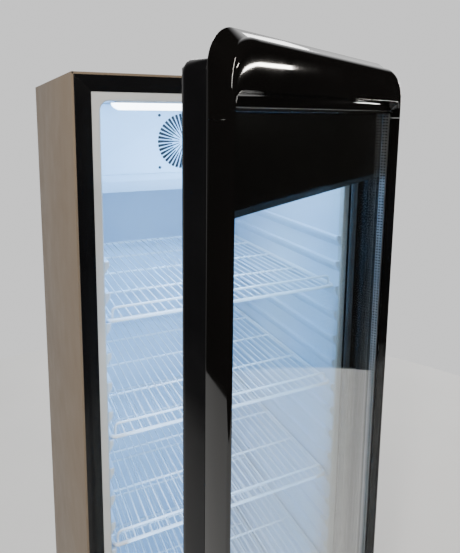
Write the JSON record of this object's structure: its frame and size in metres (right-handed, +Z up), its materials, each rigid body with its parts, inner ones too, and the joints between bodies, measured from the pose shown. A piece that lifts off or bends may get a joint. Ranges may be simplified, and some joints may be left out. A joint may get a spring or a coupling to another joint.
{
  "type": "glass door merchandiser",
  "caption": "Upright display fridge with a hinged double-glazed door, a bulging black header, a lit ribbed interior with wire shelves, and a cooling unit.",
  "frame": {"origin": "on the floor, under the middle of the cabinet body, which stands on its plinth", "axes": "+Z up; the door side of the cabinet faces -Y; +X is to the right of a person who faces the door, which is the hinge side"},
  "size_m": [0.631, 1.0099, 1.933],
  "materials": {
    "casing_paint": "satin",
    "frame_black": "gloss",
    "plinth_black": "satin",
    "zinc_sheet": "satin",
    "foam": "matte",
    "liner_white": "satin",
    "rim_grey": "satin",
    "cover_white": "satin",
    "coil_alu": "satin",
    "fan_black": "satin",
    "screw_black": "satin",
    "lamp_white": "satin",
    "wire_white": "satin",
    "compressor_black": "satin",
    "copper": "satin",
    "box_plastic": "matte",
    "control_black": "satin",
    "switch_green": "gloss",
    "gland_black": "matte",
    "foot_steel": "satin",
    "hinge_black": "satin",
    "bush_nylon": "satin",
    "header_gloss": "gloss",
    "profile_gloss": "gloss",
    "gasket_grey": "matte",
    "glass": "gloss",
    "spacer_alu": "satin"
  },
  "bodies": {
    "cabinet": {"plinth_frame": "plinth_black", "base_pan": "zinc_sheet", "left_side_panel": "casing_paint", "right_side_panel": "casing_paint", "top_panel": "casing_paint", "back_panel": "zinc_sheet", "foam_left": "foam", "foam_right": "foam", "foam_top": "foam", "foam_back": "foam", "foam_floor": "foam", "liner_left": "liner_white", "liner_right": "liner_white", "liner_ceiling": "liner_white", "liner_back": "liner_white", "liner_floor": "liner_white", "shelf_ledges": "liner_white", "liner_rim": "rim_grey", "front_frame_top": "frame_black", "front_frame_left": "frame_black", "front_frame_right": "frame_black", "front_frame_bottom": "frame_black", "evaporator_cover": "cover_white", "evaporator_pan": "cover_white", "evaporator_coil": "coil_alu", "evaporator_fan_motor": "fan_black", "cover_screws": "screw_black", "lamp_housing": "liner_white", "lamp_diffuser": "lamp_white", "shelf_1": "wire_white", "shelf_2": "wire_white", "shelf_3": "wire_white", "shelf_4": "wire_white", "shelf_5": "wire_white", "shelf_front_rails": "wire_white", "kick_grille": "plinth_black", "rear_grille": "zinc_sheet", "compressor": "compressor_black", "condenser": "coil_alu", "condenser_fan_motor": "fan_black", "filter_drier": "copper", "control_box": "box_plastic", "cord_gland": "gland_black", "top_hinge": "hinge_black", "bottom_hinge": "hinge_black"},
    "door": {"door_header": "header_gloss", "door_side_profiles": "profile_gloss", "door_bottom_rail": "profile_gloss", "door_rear_frame": "frame_black", "door_gasket": "gasket_grey", "outer_glass": "glass", "inner_glass": "glass", "glass_spacer": "spacer_alu", "hinge_bushes": "bush_nylon"},
    "evaporator_fan": {"evaporator_fan_blade": "fan_black"},
    "condenser_fan": {"condenser_fan_blade": "coil_alu"},
    "thermostat": {"thermostat_knob": "control_black"},
    "switch_rocker": {"lamp_switch": "switch_green"},
    "foot_left": {"level_foot_left": "foot_steel"},
    "foot_right": {"level_foot_right": "foot_steel"}
  },
  "joints": [
    {"name": "door_swing", "type": "hinge", "parent": "cabinet", "child": "door", "pos_m": [0.286, -0.34, 1], "axis": [0, 0, 1], "range_deg": [-30, 75]},
    {"name": "evaporator_fan_spin", "type": "hinge", "parent": "cabinet", "child": "evaporator_fan", "pos_m": [0, -0.005, 1.768], "axis": [0, 1, 0], "continuous": true},
    {"name": "condenser_fan_spin", "type": "hinge", "parent": "cabinet", "child": "condenser_fan", "pos_m": [-0.045, 0.022, 0.165], "axis": [0, 1, 0], "continuous": true},
    {"name": "thermostat_turn", "type": "hinge", "parent": "cabinet", "child": "thermostat", "pos_m": [0.12, -0.327, 0.226], "axis": [0, 1, 0], "range_deg": [0, 270]},
    {"name": "switch_rock", "type": "hinge", "parent": "cabinet", "child": "switch_rocker", "pos_m": [0.2, -0.314, 0.226], "axis": [1, 0, 0], "range_deg": [-16, 0]},
    {"name": "foot_left_turn", "type": "hinge", "parent": "cabinet", "child": "foot_left", "pos_m": [-0.262, -0.3, 0.03], "axis": [0, 0, 1], "continuous": true},
    {"name": "foot_right_turn", "type": "hinge", "parent": "cabinet", "child": "foot_right", "pos_m": [0.262, -0.3, 0.03], "axis": [0, 0, 1], "continuous": true}
  ]
}
